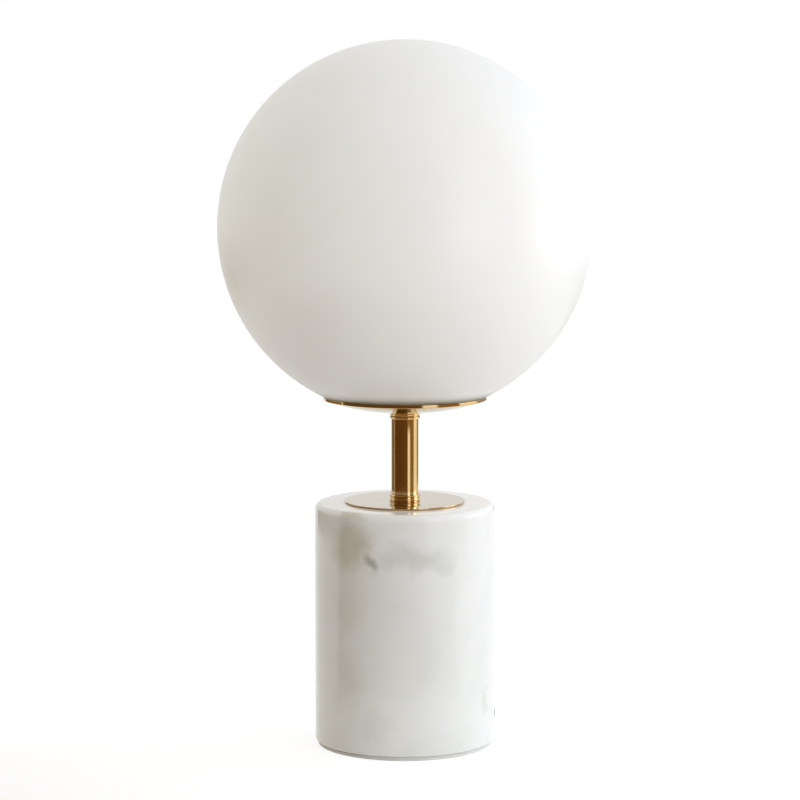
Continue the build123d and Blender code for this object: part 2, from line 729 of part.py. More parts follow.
with BuildPart() as bulb_cap:
    with BuildSketch(Plane.XZ):
        with BuildLine():
            Line((cap_inner, insulator_top), (cap_middle, insulator_top))
            Line((cap_middle, insulator_top), (cap_middle, cap_thread_bottom))
            round_thread(cap_middle, bulb_thread_depth / 2, bulb_thread_pitch,
                         cap_thread_bottom, bulb_thread_turns)
            Polyline(
                (cap_middle, cap_thread_top), (cap_middle, bulb_cap_top),
                (cap_inner, bulb_cap_top), (cap_inner, cap_thread_top))
            round_thread(cap_inner, bulb_thread_depth / 2, bulb_thread_pitch,
                         cap_thread_bottom, bulb_thread_turns)
            Line((cap_inner, cap_thread_bottom), (cap_inner, insulator_top))
        make_face()
    revolve(axis=Axis.Z)
bulb_cap.part.label = "bulb_cap"
export_step(bulb_cap.part, "parts/bulb_cap.step")

diffuser_radius = bulb_diameter / 2
diffuser_centre = bulb_bottom + bulb_length - diffuser_radius
housing_rim_radius = sqrt(diffuser_radius ** 2 - (diffuser_centre - housing_top) ** 2)
board_radius = housing_rim_radius - housing_rim_wall
board_bottom = housing_top - board_thickness
housing_neck_top = bulb_cap_top + housing_neck_height
housing_neck_radius = housing_neck_diameter / 2
housing_core_radius = housing_core_diameter / 2
flare_middle = (
    (housing_neck_radius + housing_rim_radius) / 2 + housing_bulge,
    (housing_neck_top + housing_top) / 2)
with BuildPart() as bulb_housing:
    with BuildSketch(Plane.XZ):
        with BuildLine():
            Polyline(
                (housing_core_radius, bulb_cap_top - bulb_plug_length),
                (plug_radius, bulb_cap_top - bulb_plug_length), (plug_radius, bulb_cap_top),
                (housing_neck_radius, bulb_cap_top), (housing_neck_radius, housing_neck_top))
            ThreePointArc(
                (housing_neck_radius, housing_neck_top), flare_middle,
                (housing_rim_radius, housing_top))
            Polyline(
                (housing_rim_radius, housing_top), (board_radius, housing_top),
                (board_radius, board_bottom), (board_radius - board_ledge, board_bottom),
                (housing_core_radius, housing_neck_top),
                (housing_core_radius, bulb_cap_top - bulb_plug_length))
        make_face()
    revolve(axis=Axis.Z)
bulb_housing.part.label = "bulb_housing"
export_step(bulb_housing.part, "parts/bulb_housing.step")

with BuildPart() as bulb_led_board:
    with BuildSketch(Plane.XY.offset(board_bottom)):
        Circle(board_radius - thread_clearance)
    extrude(amount=board_thickness)
    with BuildSketch(Plane.XY.offset(housing_top)):
        with PolarLocations(chip_ring_radius, chip_count):
            Rectangle(chip_size, chip_size)
    extrude(amount=chip_height)
bulb_led_board.part.label = "bulb_led_board"
export_step(bulb_led_board.part, "parts/bulb_led_board.step")

with BuildPart() as bulb_diffuser:
    with Locations((0, 0, diffuser_centre)):
        Sphere(diffuser_radius)
        Sphere(diffuser_radius - diffuser_wall, mode=Mode.SUBTRACT)
    with BuildSketch(Plane.XY.offset(housing_top)):
        Circle(bulb_diameter)
    extrude(amount=-bulb_diameter, mode=Mode.SUBTRACT)
bulb_diffuser.part.label = "bulb_diffuser"
export_step(bulb_diffuser.part, "parts/bulb_diffuser.step")

# ---- Terminal block in the base's recess -----------------------------------------------------------------
port_height = pad_thickness + block_port_height
block_top = pad_thickness + block_height
block_middle = block_near + block_length / 2
pole_offset = block_pole_spacing / 2
screw_offset = block_screw_spacing / 2
block_screw_centres = [
    (block_middle + along, across)
    for along in (-screw_offset, screw_offset)
    for across in (-pole_offset, pole_offset)]
port_centres = [(-pole_offset, port_height), (pole_offset, port_height)]
block_screw_radius = block_screw_diameter / 2

with BuildPart() as terminal_block:
    with BuildSketch(Plane.XY.offset(pad_thickness)):
        with Locations((block_middle, 0)):
            Rectangle(block_length, block_width)
    extrude(amount=block_height)
    fillet(terminal_block.edges().filter_by(Axis.Z), block_edge_round)
    with BuildSketch(Plane.YZ.offset(block_near)):
        with Locations(*port_centres):
            Circle(sleeve_diameter / 2 + thread_clearance)
    extrude(amount=block_length, mode=Mode.SUBTRACT)
    with BuildSketch(Plane.XY.offset(port_height)):
        with Locations(*block_screw_centres):
            Circle(block_screw_radius + thread_clearance)
    extrude(amount=block_height, mode=Mode.SUBTRACT)
terminal_block.part.label = "terminal_block"
export_step(terminal_block.part, "parts/terminal_block.step")

with BuildPart() as terminal_sleeves:
    with BuildSketch(Plane.YZ.offset(block_near + sleeve_inset)):
        with Locations(*port_centres):
            Circle(sleeve_diameter / 2)
            Circle(sleeve_bore_diameter / 2, mode=Mode.SUBTRACT)
    extrude(amount=block_length - 2 * sleeve_inset)
    with BuildSketch(Plane.XY.offset(port_height)):
        with Locations(*block_screw_centres):
            Circle(block_screw_radius + thread_clearance)
    extrude(amount=block_height, mode=Mode.SUBTRACT)
terminal_sleeves.part.label = "terminal_sleeves"
export_step(terminal_sleeves.part, "parts/terminal_sleeves.step")

block_screw_tip = port_height + core_diameter / 2 + thread_clearance
block_screw_top = block_top - block_screw_sunk
with BuildPart() as block_screws:
    with BuildSketch(Plane.XY.offset(block_screw_tip)):
        with Locations(*block_screw_centres):
            Circle(block_screw_radius)
    extrude(amount=block_screw_top - block_screw_tip)
    with BuildSketch(Plane.XY.offset(block_screw_top)):
        with Locations(*block_screw_centres):
            Rectangle(2 * block_screw_radius, grub_slot)
    extrude(amount=-grub_slot, mode=Mode.SUBTRACT)
block_screws.part.label = "block_screws"
export_step(block_screws.part, "parts/block_screws.step")


# ---- Inner leads, from the block up the rod to the lampholder ----------------------------------------------
def inner_lead(side):
    """Single-core lead on one side of the axis, with a bared end in each terminal."""
    foot = (block_near + sleeve_inset, side * pole_offset, port_height)
    turn_in = (block_near - 3 * sleeve_inset, side * pole_offset, port_height)
    under_rod = (0, side * lead_spacing / 2, port_height)
    over_rod = (0, side * lead_spacing / 2, rod_top + core_lead_diameter)
    spread = terminal_offset - lead_spacing / 2
    under_terminal = (0, side * terminal_offset, rod_top + core_lead_diameter + spread)
    head = (0, side * terminal_offset, insert_bottom)
    with BuildPart() as lead:
        with BuildLine() as route:
            FilletPolyline(
                foot, turn_in, under_rod, over_rod, under_terminal, head,
                radius=[lead_foot_radius, lead_foot_radius, lead_head_radius, lead_head_radius / 2])
        with BuildSketch(Plane(origin=route.line @ 0, z_dir=route.line % 0)):
            Circle(core_lead_diameter / 2)
        sweep(path=route.line)
        with BuildSketch(Plane(origin=foot, z_dir=(1, 0, 0))):
            Circle(core_diameter / 2)
        extrude(amount=core_bare_length + screw_offset)
        with BuildSketch(Plane(origin=head, z_dir=(0, 0, 1))):
            Circle(core_diameter / 2)
        extrude(amount=core_bare_length)
    return lead


live_lead = inner_lead(1)
live_lead.part.label = "live_lead"
export_step(live_lead.part, "parts/live_lead.step")

neutral_lead = inner_lead(-1)
neutral_lead.part.label = "neutral_lead"
export_step(neutral_lead.part, "parts/neutral_lead.step")
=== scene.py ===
"""Glass globe table lamp: opal glass on a brass dish, a brass stem and a marble drum.

Metres, +Z up, with the lamp's axis on Z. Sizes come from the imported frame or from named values.
"""
import json
import math

import bmesh
import bpy
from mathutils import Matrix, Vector


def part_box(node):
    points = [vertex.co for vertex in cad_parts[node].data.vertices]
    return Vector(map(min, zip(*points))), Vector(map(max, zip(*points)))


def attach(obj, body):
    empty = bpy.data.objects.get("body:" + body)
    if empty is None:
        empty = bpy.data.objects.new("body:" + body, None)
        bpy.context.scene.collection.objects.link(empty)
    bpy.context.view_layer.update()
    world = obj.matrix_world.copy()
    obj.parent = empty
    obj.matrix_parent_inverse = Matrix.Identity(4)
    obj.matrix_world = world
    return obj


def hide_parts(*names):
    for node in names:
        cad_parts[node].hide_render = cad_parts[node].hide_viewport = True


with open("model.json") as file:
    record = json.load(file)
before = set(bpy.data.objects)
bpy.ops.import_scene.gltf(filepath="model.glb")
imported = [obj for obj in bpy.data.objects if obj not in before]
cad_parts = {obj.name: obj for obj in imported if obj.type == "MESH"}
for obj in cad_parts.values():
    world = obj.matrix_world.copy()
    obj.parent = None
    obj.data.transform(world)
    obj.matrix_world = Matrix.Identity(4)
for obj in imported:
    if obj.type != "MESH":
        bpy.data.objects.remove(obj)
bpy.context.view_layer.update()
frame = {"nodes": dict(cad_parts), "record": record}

MM = 0.001

# ---- Sizes that the frame doesn't give --------------------------------------------------------
GLASS_WALL = 3 * MM
GLASS_MOUTH_OPENING = 39 * MM      # radius
GLASS_OUTER_ROUND = 3 * MM
GLASS_INNER_ROUND = 0.4 * MM
MOUTH_SHADE_HEIGHT = 6.2 * MM       # painted shade on the glass above the brass rim reaches up to here
ROD_HOLE = 5.1 * MM                # radius of the plain hole around the threaded rod
DISH_FLAT = 12 * MM
DISH_DEPTH = 6 * MM
DISH_WALL = 1.3 * MM
RIM_HEIGHT = 1.8 * MM
RIM_UNDERSIDE = 0.9 * MM
RIM_ROUND = 0.3 * MM
SEAT_WIDTH = 1.8 * MM
SEAT_STEP = 1 * MM
COLLAR_FLOOR = 1 * MM
COLLAR_RING = 1.3 * MM
COLLAR_GROOVE = 0.6 * MM
COLLAR_BEAD = 1.2 * MM
COLLAR_BULGE = 0.45 * MM
STEM_WALL = 1 * MM
SLIP_FIT = 0.05 * MM
DISC_TOP_ROUND = 0.12 * MM
DISC_UNDERCUT = 0.7 * MM
FINE_ROUND = 0.12 * MM             # broken edge on turned metal
PAD_ROUND = 0.3 * MM
PAD_TOP_BEVEL = 0.8 * MM
DRUM_TOP_ROUND = 3.5 * MM
DRUM_FOOT_ROUND = 1 * MM
DRUM_BORE = 6 * MM
DRUM_WALL_ROWS = 12                # rows of faces up the plain wall
RECESS_RADIUS = 30 * MM
RECESS_DEPTH = 24 * MM
INLET_SLOT = (6.2 * MM, 4.2 * MM)  # width and height of the slot through the drum's wall
CUTTER_REACH = (0.8, 2)            # ends of that slot's cutter, in radii of the recess
ROD_BORE = 3.5 * MM
ROD_THREAD = (1 * MM, 0.35 * MM)   # pitch and depth
ROD_TURN_ROWS = 10                 # rows of faces in one turn of the thread
CAP_THREAD = (2.822 * MM, 0.7 * MM)
CAP_WALL = 0.3 * MM
CAP_TURNS = 5
CAP_TURN_ROWS = 16

# ---- Node helpers -----------------------------------------------------------------------------

# A mix node's sockets for numbers and colours share their names, so they go by number.
MIX_INPUTS = {"Factor": 0, "A": 6, "B": 7}
MIX_RESULT = 2


def add_node(tree, kind, sockets=None, **settings):
    """A node with its settings, and its sockets set to values or linked to other sockets."""
    node = tree.nodes.new(kind)
    for name, value in settings.items():
        setattr(node, name, value)
    for name, value in (sockets or {}).items():
        if isinstance(value, bpy.types.NodeSocket):
            tree.links.new(value, node.inputs[name])
        else:
            node.inputs[name].default_value = value
    return node


def maths(tree, operation, first, second=0.0):
    """Output of a maths node on two values or sockets."""
    node = add_node(tree, "ShaderNodeMath", {0: first, 1: second}, operation=operation)
    return node.outputs[0]


def ramp(tree, value, low, high, start=0.0, end=1.0, smooth=True):
    """value taken from low..high to start..end, and held at the ends."""
    node = add_node(tree, "ShaderNodeMapRange", {
        "Value": value, "From Min": low, "From Max": high, "To Min": start, "To Max": end})
    node.interpolation_type = "SMOOTHSTEP" if smooth else "LINEAR"
    return node.outputs["Result"]


def mix_colour(tree, factor, first, second):
    """Output of a colour mix; first and second are colours or sockets."""
    node = add_node(tree, "ShaderNodeMix", data_type="RGBA")
    sockets = {name: node.inputs[place] for name, place in MIX_INPUTS.items()}
    for name, value in (("Factor", factor), ("A", first), ("B", second)):
        if isinstance(value, bpy.types.NodeSocket):
            tree.links.new(value, sockets[name])
        elif name == "Factor":
            sockets[name].default_value = value
        else:
            sockets[name].default_value = (*value, 1.0)
    return node.outputs[MIX_RESULT]


def new_socket(tree, name, kind, direction="INPUT"):
    """A named input or output of a whole tree."""
    tree.interface.new_socket(name, in_out=direction, socket_type="NodeSocket" + kind)


# ---- Scene helpers ----------------------------------------------------------------------------


def put_in_scene(name, data):
    """A new object with that data, linked to the scene."""
    thing = bpy.data.objects.new(name, data)
    bpy.context.scene.collection.objects.link(thing)
    return thing


def evaluated_mesh(thing):
    """A new mesh: the thing with its modifiers."""
    view = bpy.context.evaluated_depsgraph_get()
    return bpy.data.meshes.new_from_object(thing.evaluated_get(view))


def apply_modifiers(piece):
    """Makes the result of the piece's modifiers its own mesh."""
    mesh = evaluated_mesh(piece)
    piece.modifiers.clear()
    piece.data = mesh


def bare_material(name):
    """A material with an empty node tree."""
    material = bpy.data.materials.new(name)
    material.use_nodes = True
    material.node_tree.nodes.clear()
    return material


# ---- Geometry trees ---------------------------------------------------------------------------


def turned_tree():
    """A profile swept round the lamp's axis. Guide Radius is the circle that it is drawn from."""
    tree = bpy.data.node_groups.new("turned profile", "GeometryNodeTree")
    new_socket(tree, "Profile", "Object")
    new_socket(tree, "Guide Radius", "Float")
    new_socket(tree, "Segments", "Int")
    new_socket(tree, "Weld Distance", "Float")
    new_socket(tree, "Finish", "Material")
    new_socket(tree, "Mesh", "Geometry", "OUTPUT")
    given = add_node(tree, "NodeGroupInput").outputs
    profile = add_node(tree, "GeometryNodeObjectInfo", {"Object": given["Profile"]})
    outline = add_node(tree, "GeometryNodeMeshToCurve", {"Mesh": profile.outputs["Geometry"]})
    guide = add_node(tree, "GeometryNodeCurvePrimitiveCircle", {
        "Radius": given["Guide Radius"], "Resolution": given["Segments"]})
    sweep = add_node(tree, "GeometryNodeCurveToMesh", {
        "Curve": guide.outputs["Curve"], "Profile Curve": outline.outputs["Curve"]})
    weld = add_node(tree, "GeometryNodeMergeByDistance", {
        "Geometry": sweep.outputs["Mesh"], "Distance": given["Weld Distance"]})
    finish_tree(tree, weld.outputs["Geometry"], given["Finish"])
    return tree


def thread_tree():
    """A right-hand thread pressed or cut into a turned piece between two heights."""
    tree = bpy.data.node_groups.new("helical thread", "GeometryNodeTree")
    new_socket(tree, "Geometry", "Geometry")
    new_socket(tree, "Pitch", "Float")
    new_socket(tree, "Depth", "Float")
    new_socket(tree, "Crest Shift", "Float")
    new_socket(tree, "Bottom", "Float")
    new_socket(tree, "Top", "Float")
    new_socket(tree, "Run Out", "Float")
    new_socket(tree, "Least Radius", "Float")
    new_socket(tree, "Finish", "Material")
    new_socket(tree, "Mesh", "Geometry", "OUTPUT")
    given = add_node(tree, "NodeGroupInput").outputs
    place = add_node(tree, "GeometryNodeInputPosition").outputs["Position"]
    along = add_node(tree, "ShaderNodeSeparateXYZ", {"Vector": place}).outputs
    flat = add_node(tree, "ShaderNodeVectorMath", {0: place, 1: (1, 1, 0)}, operation="MULTIPLY")
    radius = add_node(tree, "ShaderNodeVectorMath", {0: flat.outputs[0]}, operation="LENGTH")
    outwards = add_node(tree, "ShaderNodeVectorMath", {0: flat.outputs[0]}, operation="NORMALIZE")
    angle = maths(tree, "ARCTAN2", along["Y"], along["X"])
    turns = maths(tree, "MULTIPLY", maths(tree, "DIVIDE", along["Z"], given["Pitch"]), math.tau)
    wave = maths(tree, "COSINE", maths(tree, "SUBTRACT", turns, angle))
    height = maths(tree, "ADD", maths(tree, "MULTIPLY", wave, 0.5), given["Crest Shift"])
    starting = ramp(tree, along["Z"], given["Bottom"],
                    maths(tree, "ADD", given["Bottom"], given["Run Out"]))
    ending = ramp(tree, along["Z"], maths(tree, "SUBTRACT", given["Top"], given["Run Out"]),
                  given["Top"], 1.0, 0.0)
    reach = maths(tree, "MULTIPLY", maths(tree, "MULTIPLY", height, given["Depth"]),
                  maths(tree, "MULTIPLY", starting, ending))
    push = add_node(tree, "ShaderNodeVectorMath", {0: outwards.outputs[0], "Scale": reach},
                    operation="SCALE")
    chosen = add_node(tree, "FunctionNodeCompare", {
        0: radius.outputs["Value"], 1: given["Least Radius"]}, operation="GREATER_THAN")
    moved = add_node(tree, "GeometryNodeSetPosition", {
        "Geometry": given["Geometry"], "Selection": chosen.outputs[0], "Offset": push.outputs[0]})
    finish_tree(tree, moved.outputs["Geometry"], given["Finish"])
    return tree


def finish_tree(tree, geometry, finish):
    """Ends a tree: instances made real, and the finish set on the whole mesh."""
    real = add_node(tree, "GeometryNodeRealizeInstances", {"Geometry": geometry})
    coated = add_node(tree, "GeometryNodeSetMaterial", {
        "Geometry": real.outputs["Geometry"], "Material": finish})
    add_node(tree, "NodeGroupOutput", {"Mesh": coated.outputs["Geometry"]})


TURNED = turned_tree()
THREAD = thread_tree()
GUIDE_RADIUS = 0.1
WELD_DISTANCE = 0.001 * MM
SHARP_ANGLE = math.radians(32)


def add_tree(host, tree, values):
    """A Geometry Nodes modifier with its inputs set by their identifiers."""
    modifier = host.modifiers.new(tree.name, "NODES")
    modifier.node_group = tree
    for item in tree.interface.items_tree:
        if item.item_type == "SOCKET" and item.in_out == "INPUT" and item.name in values:
            modifier[item.identifier] = values[item.name]


def plain_mesh(host, name):
    """The host's evaluated mesh as an object of its own; the host is removed."""
    mesh = evaluated_mesh(host)
    bpy.data.objects.remove(host)
    shape = bmesh.new()
    shape.from_mesh(mesh)
    if shape.calc_volume(signed=True) < 0:
        bmesh.ops.reverse_faces(shape, faces=shape.faces)
    shape.to_mesh(mesh)
    shape.free()
    mesh.name = name
    return put_in_scene(name, mesh)


def smooth(piece):
    """Smooth shading that keeps sharp edges crisp and large faces flat."""
    piece.data.shade_smooth()
    piece.data.set_sharp_from_angle(angle=SHARP_ANGLE)
    weighing = piece.modifiers.new("large faces first", "WEIGHTED_NORMAL")
    weighing.keep_sharp = True
    apply_modifiers(piece)
    return piece


def turned(name, outline, finish, closed=True, segments=160, threads=()):
    """A piece turned about the lamp's axis from (radius, height) points."""
    drawn = bpy.data.meshes.new("profile of " + name)
    edges = [(step, step + 1) for step in range(len(outline) - 1)]
    if closed:
        edges.append((len(outline) - 1, 0))
    drawn.from_pydata([(radius - GUIDE_RADIUS, -height, 0) for radius, height in outline],
                      edges, [])
    profile = put_in_scene(drawn.name, drawn)
    host = put_in_scene("host of " + name, bpy.data.meshes.new(name))
    add_tree(host, TURNED, {
        "Profile": profile, "Guide Radius": GUIDE_RADIUS, "Segments": segments,
        "Weld Distance": WELD_DISTANCE, "Finish": finish})
    for thread in threads:
        add_tree(host, THREAD, {**thread, "Finish": finish})
    piece = plain_mesh(host, name)
    bpy.data.objects.remove(profile)
    return smooth(piece)


# ---- Outlines, as (radius, height) points -----------------------------------------------------


def arc(centre, radius, start, end, steps=6):
    """Points on an arc, between two angles in degrees from the outward direction."""
    points = []
    for step in range(steps + 1):
        angle = math.radians(start + (end - start) * step / steps)
        points.append((centre[0] + radius * math.cos(angle),
                       centre[1] + radius * math.sin(angle)))
    return points


def glass_outline():
    """Half of the globe: over the outside to the ground mouth, and back up the inside."""
    low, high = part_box("globe_glass")
    outer = high.x
    seat = low.z
    centre = high.z - outer
    inner = outer - GLASS_WALL
    round_height = seat + GLASS_OUTER_ROUND - centre
    round_place = math.sqrt((outer - GLASS_OUTER_ROUND) ** 2 - round_height ** 2)
    round_angle = math.degrees(math.atan2(round_height, round_place))
    bore_angle = -math.degrees(math.acos(GLASS_MOUTH_OPENING / inner))
    return [
        *arc((0, centre), outer, 90, round_angle, 112),
        *arc((round_place, seat + GLASS_OUTER_ROUND), GLASS_OUTER_ROUND, round_angle, -90)[1:],
        *arc((GLASS_MOUTH_OPENING + GLASS_INNER_ROUND, seat + GLASS_INNER_ROUND),
             GLASS_INNER_ROUND, -90, -180, 4),
        *arc((0, centre), inner, bore_angle, 90, 96)]


def dish_outline():
    """The shallow dish with its flat-edged rim and the ring that carries the glass."""
    low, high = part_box("globe_dish")
    rim_root = high.x - RIM_UNDERSIDE
    rim_bottom = high.z - RIM_HEIGHT
    run = rim_root - DISH_FLAT
    curve = (run ** 2 + DISH_DEPTH ** 2) / (2 * DISH_DEPTH)
    centre = (DISH_FLAT, low.z + curve)
    rim_angle = math.degrees(math.atan2(rim_bottom - centre[1], run))
    bowl_edge = rim_root - SEAT_WIDTH - SEAT_STEP
    bowl_angle = -math.degrees(math.acos((bowl_edge - DISH_FLAT) / (curve - DISH_WALL)))
    edge = high.x - RIM_ROUND
    return [
        (ROD_HOLE, low.z),
        *arc(centre, curve, -90, rim_angle, 28),
        *arc((edge, rim_bottom + RIM_ROUND), RIM_ROUND, -90, 0, 6),
        *arc((edge, high.z - RIM_ROUND), RIM_ROUND, 0, 90, 6),
        (rim_root - SEAT_WIDTH, high.z),
        *arc(centre, curve - DISH_WALL, bowl_angle, -90, 28),
        (ROD_HOLE, low.z + DISH_WALL)]


def bead(crest, middle, height):
    """Points up a rounded bead, from its root to its crest and back."""
    curve = (height ** 2 / 4 + COLLAR_BULGE ** 2) / (2 * COLLAR_BULGE)
    lean = math.degrees(math.asin(height / 2 / curve))
    return arc((crest - curve, middle), curve, -lean, lean, 16)


def collar_outline(node, upwards):
    """Collar from its seat towards the bare stem: a neck and two beads with a groove between."""
    low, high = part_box(node)
    reach = high.z - low.z
    groove_end = reach - COLLAR_BEAD
    ring_end = groove_end - COLLAR_GROOVE
    root = high.x - COLLAR_BULGE
    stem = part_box("stem_tube")[1].x + SLIP_FIT
    points = [
        (ROD_HOLE, 0), (root, 0),
        *bead(high.x, ring_end - COLLAR_RING / 2, COLLAR_RING),
        *bead(high.x, reach - COLLAR_BEAD / 2, COLLAR_BEAD),
        (stem, reach), (stem, COLLAR_FLOOR), (ROD_HOLE, COLLAR_FLOOR)]
    if upwards:
        return [(radius, low.z + height) for radius, height in points]
    return [(radius, high.z - height) for radius, height in points]


def tube_outline(node, wall, edge_round):
    """Plain tube with its four edges broken."""
    low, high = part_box(node)
    outer, inner = high.x, high.x - wall
    bottom, top = low.z + edge_round, high.z - edge_round
    return [
        *arc((outer - edge_round, bottom), edge_round, -90, 0, 3),
        *arc((outer - edge_round, top), edge_round, 0, 90, 3),
        *arc((inner + edge_round, top), edge_round, 90, 180, 3),
        *arc((inner + edge_round, bottom), edge_round, 180, 270, 3)]


def disc_outline():
    """Thin brass disc whose edge is bevelled underneath, so that it seems to float."""
    low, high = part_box("base_disc")
    edge = high.x - DISC_TOP_ROUND
    return [
        (ROD_HOLE, low.z), (high.x - DISC_UNDERCUT, low.z), (high.x, low.z + DISC_UNDERCUT),
        *arc((edge, high.z - DISC_TOP_ROUND), DISC_TOP_ROUND, 0, 90, 4),
        (ROD_HOLE, high.z)]


def drum_outline():
    """Marble drum with its bore and the recess under it."""
    low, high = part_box("marble_base")
    outer = -low.x
    ceiling = low.z + RECESS_DEPTH
    top, foot = DRUM_TOP_ROUND, DRUM_FOOT_ROUND
    wall = [(outer, low.z + foot + (high.z - top - low.z - foot) * step / DRUM_WALL_ROWS)
            for step in range(1, DRUM_WALL_ROWS)]
    return [
        (RECESS_RADIUS, low.z),
        *arc((outer - foot, low.z + foot), foot, -90, 0, 6),
        *wall,
        *arc((outer - top, high.z - top), top, 0, 90, 10),
        (DRUM_BORE, high.z), (DRUM_BORE, ceiling), (RECESS_RADIUS, ceiling)]


def pad_outline():
    """Soft pad under the drum, rounded at the table and bevelled under the stone."""
    low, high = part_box("base_pad")
    return [
        (0, low.z), *arc((high.x - PAD_ROUND, low.z + PAD_ROUND), PAD_ROUND, -90, 0, 4),
        (high.x, high.z - PAD_TOP_BEVEL), (high.x - PAD_TOP_BEVEL, high.z), (0, high.z)]


def rising(radius, bottom, top, step):
    """Points up a plain wall, at even steps."""
    count = max(1, round((top - bottom) / step))
    return [(radius, bottom + (top - bottom) * row / count) for row in range(count + 1)]


def cut_slot(drum, finish):
    """Cuts the cord bush's slot through the drum's wall."""
    mount = next(m for m in frame["record"]["mounts"] if m["name"] == "cord_inlet")
    outwards = Vector(mount["axis"])
    across = Vector((-outwards.y, outwards.x, 0))
    width, height = INLET_SLOT
    centre = Vector((0, 0, mount["pos_m"][2]))
    flat = (width - height) / 2
    ring = []
    for side, start in ((1, -90), (-1, 90)):
        for place, up in arc((side * flat, 0), height / 2, start, start + 180, 12):
            ring.append(centre + across * place + Vector((0, 0, up)))
    cutter_mesh = bpy.data.meshes.new("slot")
    shape = bmesh.new()
    near, far = [[shape.verts.new(point + outwards * RECESS_RADIUS * share) for point in ring]
                 for share in CUTTER_REACH]
    count = len(ring)
    for step in range(count):
        after = (step + 1) % count
        shape.faces.new((near[step], near[after], far[after], far[step]))
    shape.faces.new(near)
    shape.faces.new(far)
    bmesh.ops.recalc_face_normals(shape, faces=shape.faces)
    shape.to_mesh(cutter_mesh)
    shape.free()
    cutter_mesh.materials.append(finish)
    cutter = put_in_scene("slot", cutter_mesh)
    cut = drum.modifiers.new("slot", "BOOLEAN")
    cut.operation = "DIFFERENCE"
    cut.solver = "EXACT"
    cut.object = cutter
    apply_modifiers(drum)
    bpy.data.objects.remove(cutter)
    smooth(drum)


# ---- Finishes ---------------------------------------------------------------------------------


class Finish:
    """A material being made, with its tree, its shader and the object's own coordinates."""

    def __init__(self, name, **sockets):
        self.material = bpy.data.materials.new(name)
        self.material.use_nodes = True
        self.tree = self.material.node_tree
        self.shader = self.tree.nodes["Principled BSDF"]
        self.place = add_node(self.tree, "ShaderNodeTexCoord").outputs["Object"]
        for socket, value in sockets.items():
            self.set(socket.replace("_", " "), value)

    def set(self, socket, value):
        target = self.shader.inputs[socket]
        if isinstance(value, bpy.types.NodeSocket):
            self.tree.links.new(value, target)
        elif isinstance(value, tuple) and len(value) == 3 and target.type == "RGBA":
            target.default_value = (*value, 1.0)
        else:
            target.default_value = value

    def noise(self, scale, detail=3.0, roughness=0.5, distortion=0.0, stretch=None, **settings):
        """Noise on the piece; stretch squeezes it along each axis."""
        place = self.place
        if stretch:
            place = add_node(self.tree, "ShaderNodeMapping", {
                "Vector": place, "Scale": stretch}).outputs["Vector"]
        node = add_node(self.tree, "ShaderNodeTexNoise", {
            "Vector": place, "Scale": scale, "Detail": detail, "Roughness": roughness,
            "Distortion": distortion}, **settings)
        return node.outputs["Fac"]

    def wavy_place(self, scale, reach):
        """The object's coordinates, pushed about by noise as far as reach."""
        waves = add_node(self.tree, "ShaderNodeTexNoise", {
            "Vector": self.place, "Scale": scale, "Detail": 4.0, "Roughness": 0.55})
        push = add_node(self.tree, "ShaderNodeVectorMath", {
            0: waves.outputs["Color"], 1: (0.5, 0.5, 0.5)}, operation="SUBTRACT")
        reached = add_node(self.tree, "ShaderNodeVectorMath", {
            0: push.outputs[0], "Scale": 2 * reach}, operation="SCALE")
        moved = add_node(self.tree, "ShaderNodeVectorMath", {0: self.place, 1: reached.outputs[0]})
        return moved.outputs[0]

    def spot(self, place, centre, size):
        """1 at a centre, falling to 0 on an ellipsoid of that size."""
        scale = tuple(1 / length for length in size)
        shift = tuple(-middle * factor for middle, factor in zip(centre, scale))
        moved = add_node(self.tree, "ShaderNodeMapping", {
            "Vector": place, "Location": shift, "Scale": scale})
        ball = add_node(self.tree, "ShaderNodeTexGradient", {
            "Vector": moved.outputs["Vector"]}, gradient_type="SPHERICAL")
        return ball.outputs["Fac"]

    def bump(self, height, strength, distance, under=None):
        sockets = {"Height": height, "Strength": strength, "Distance": distance}
        if under:
            sockets["Normal"] = under
        node = add_node(self.tree, "ShaderNodeBump", sockets)
        self.tree.links.new(node.outputs["Normal"], self.shader.inputs["Normal"])
        return node.outputs["Normal"]


OPAL_TONES = ((0.915, 0.912, 0.905), (0.935, 0.933, 0.93))
# Painted shade: a dark colour painted on the glass just above the brass rim, for the shade and dark
# reflection where the glass meets the rim.
MOUTH_PAINTED_SHADE = (0.22, 0.20, 0.15)


def opal_glass():
    """White glass right through, acid-etched to a satin skin, with the blower's faint waves and a
    painted shade band at the mouth.
    """
    finish = Finish("opal_glass", IOR=1.5, Subsurface_Weight=0.25, Subsurface_Scale=4 * MM,
                    Subsurface_Radius=(1.0, 0.95, 0.85))
    tree = finish.tree
    body = finish.noise(9, 2)
    white = mix_colour(tree, ramp(tree, body, 0.3, 0.7), *OPAL_TONES)
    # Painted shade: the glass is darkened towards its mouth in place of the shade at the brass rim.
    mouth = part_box("globe_glass")[0].z
    up = add_node(tree, "ShaderNodeSeparateXYZ", {"Vector": finish.place}).outputs["Z"]
    near = ramp(tree, up, mouth + 1 * MM, mouth + MOUTH_SHADE_HEIGHT, 1.0, 0.0, smooth=False)
    grey = maths(tree, "MULTIPLY", maths(tree, "POWER", near, 2.0), 0.95)
    finish.set("Base Color", mix_colour(tree, grey, white, MOUTH_PAINTED_SHADE))
    etch = finish.noise(5200, 2)
    finish.set("Roughness", ramp(tree, etch, 0.3, 0.7, 0.34, 0.44))
    waves = finish.bump(finish.noise(22, 2), 0.12, 0.6 * MM)
    finish.bump(etch, 0.10, 0.02 * MM, waves)
    return finish.material


def on_drum(azimuth, height):
    """A point on the drum's wall; azimuth 0 faces -Y, and 90 faces +X."""
    radius = -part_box("marble_base")[0].x
    turn = math.radians(azimuth)
    return (radius * math.sin(turn), -radius * math.cos(turn), height)


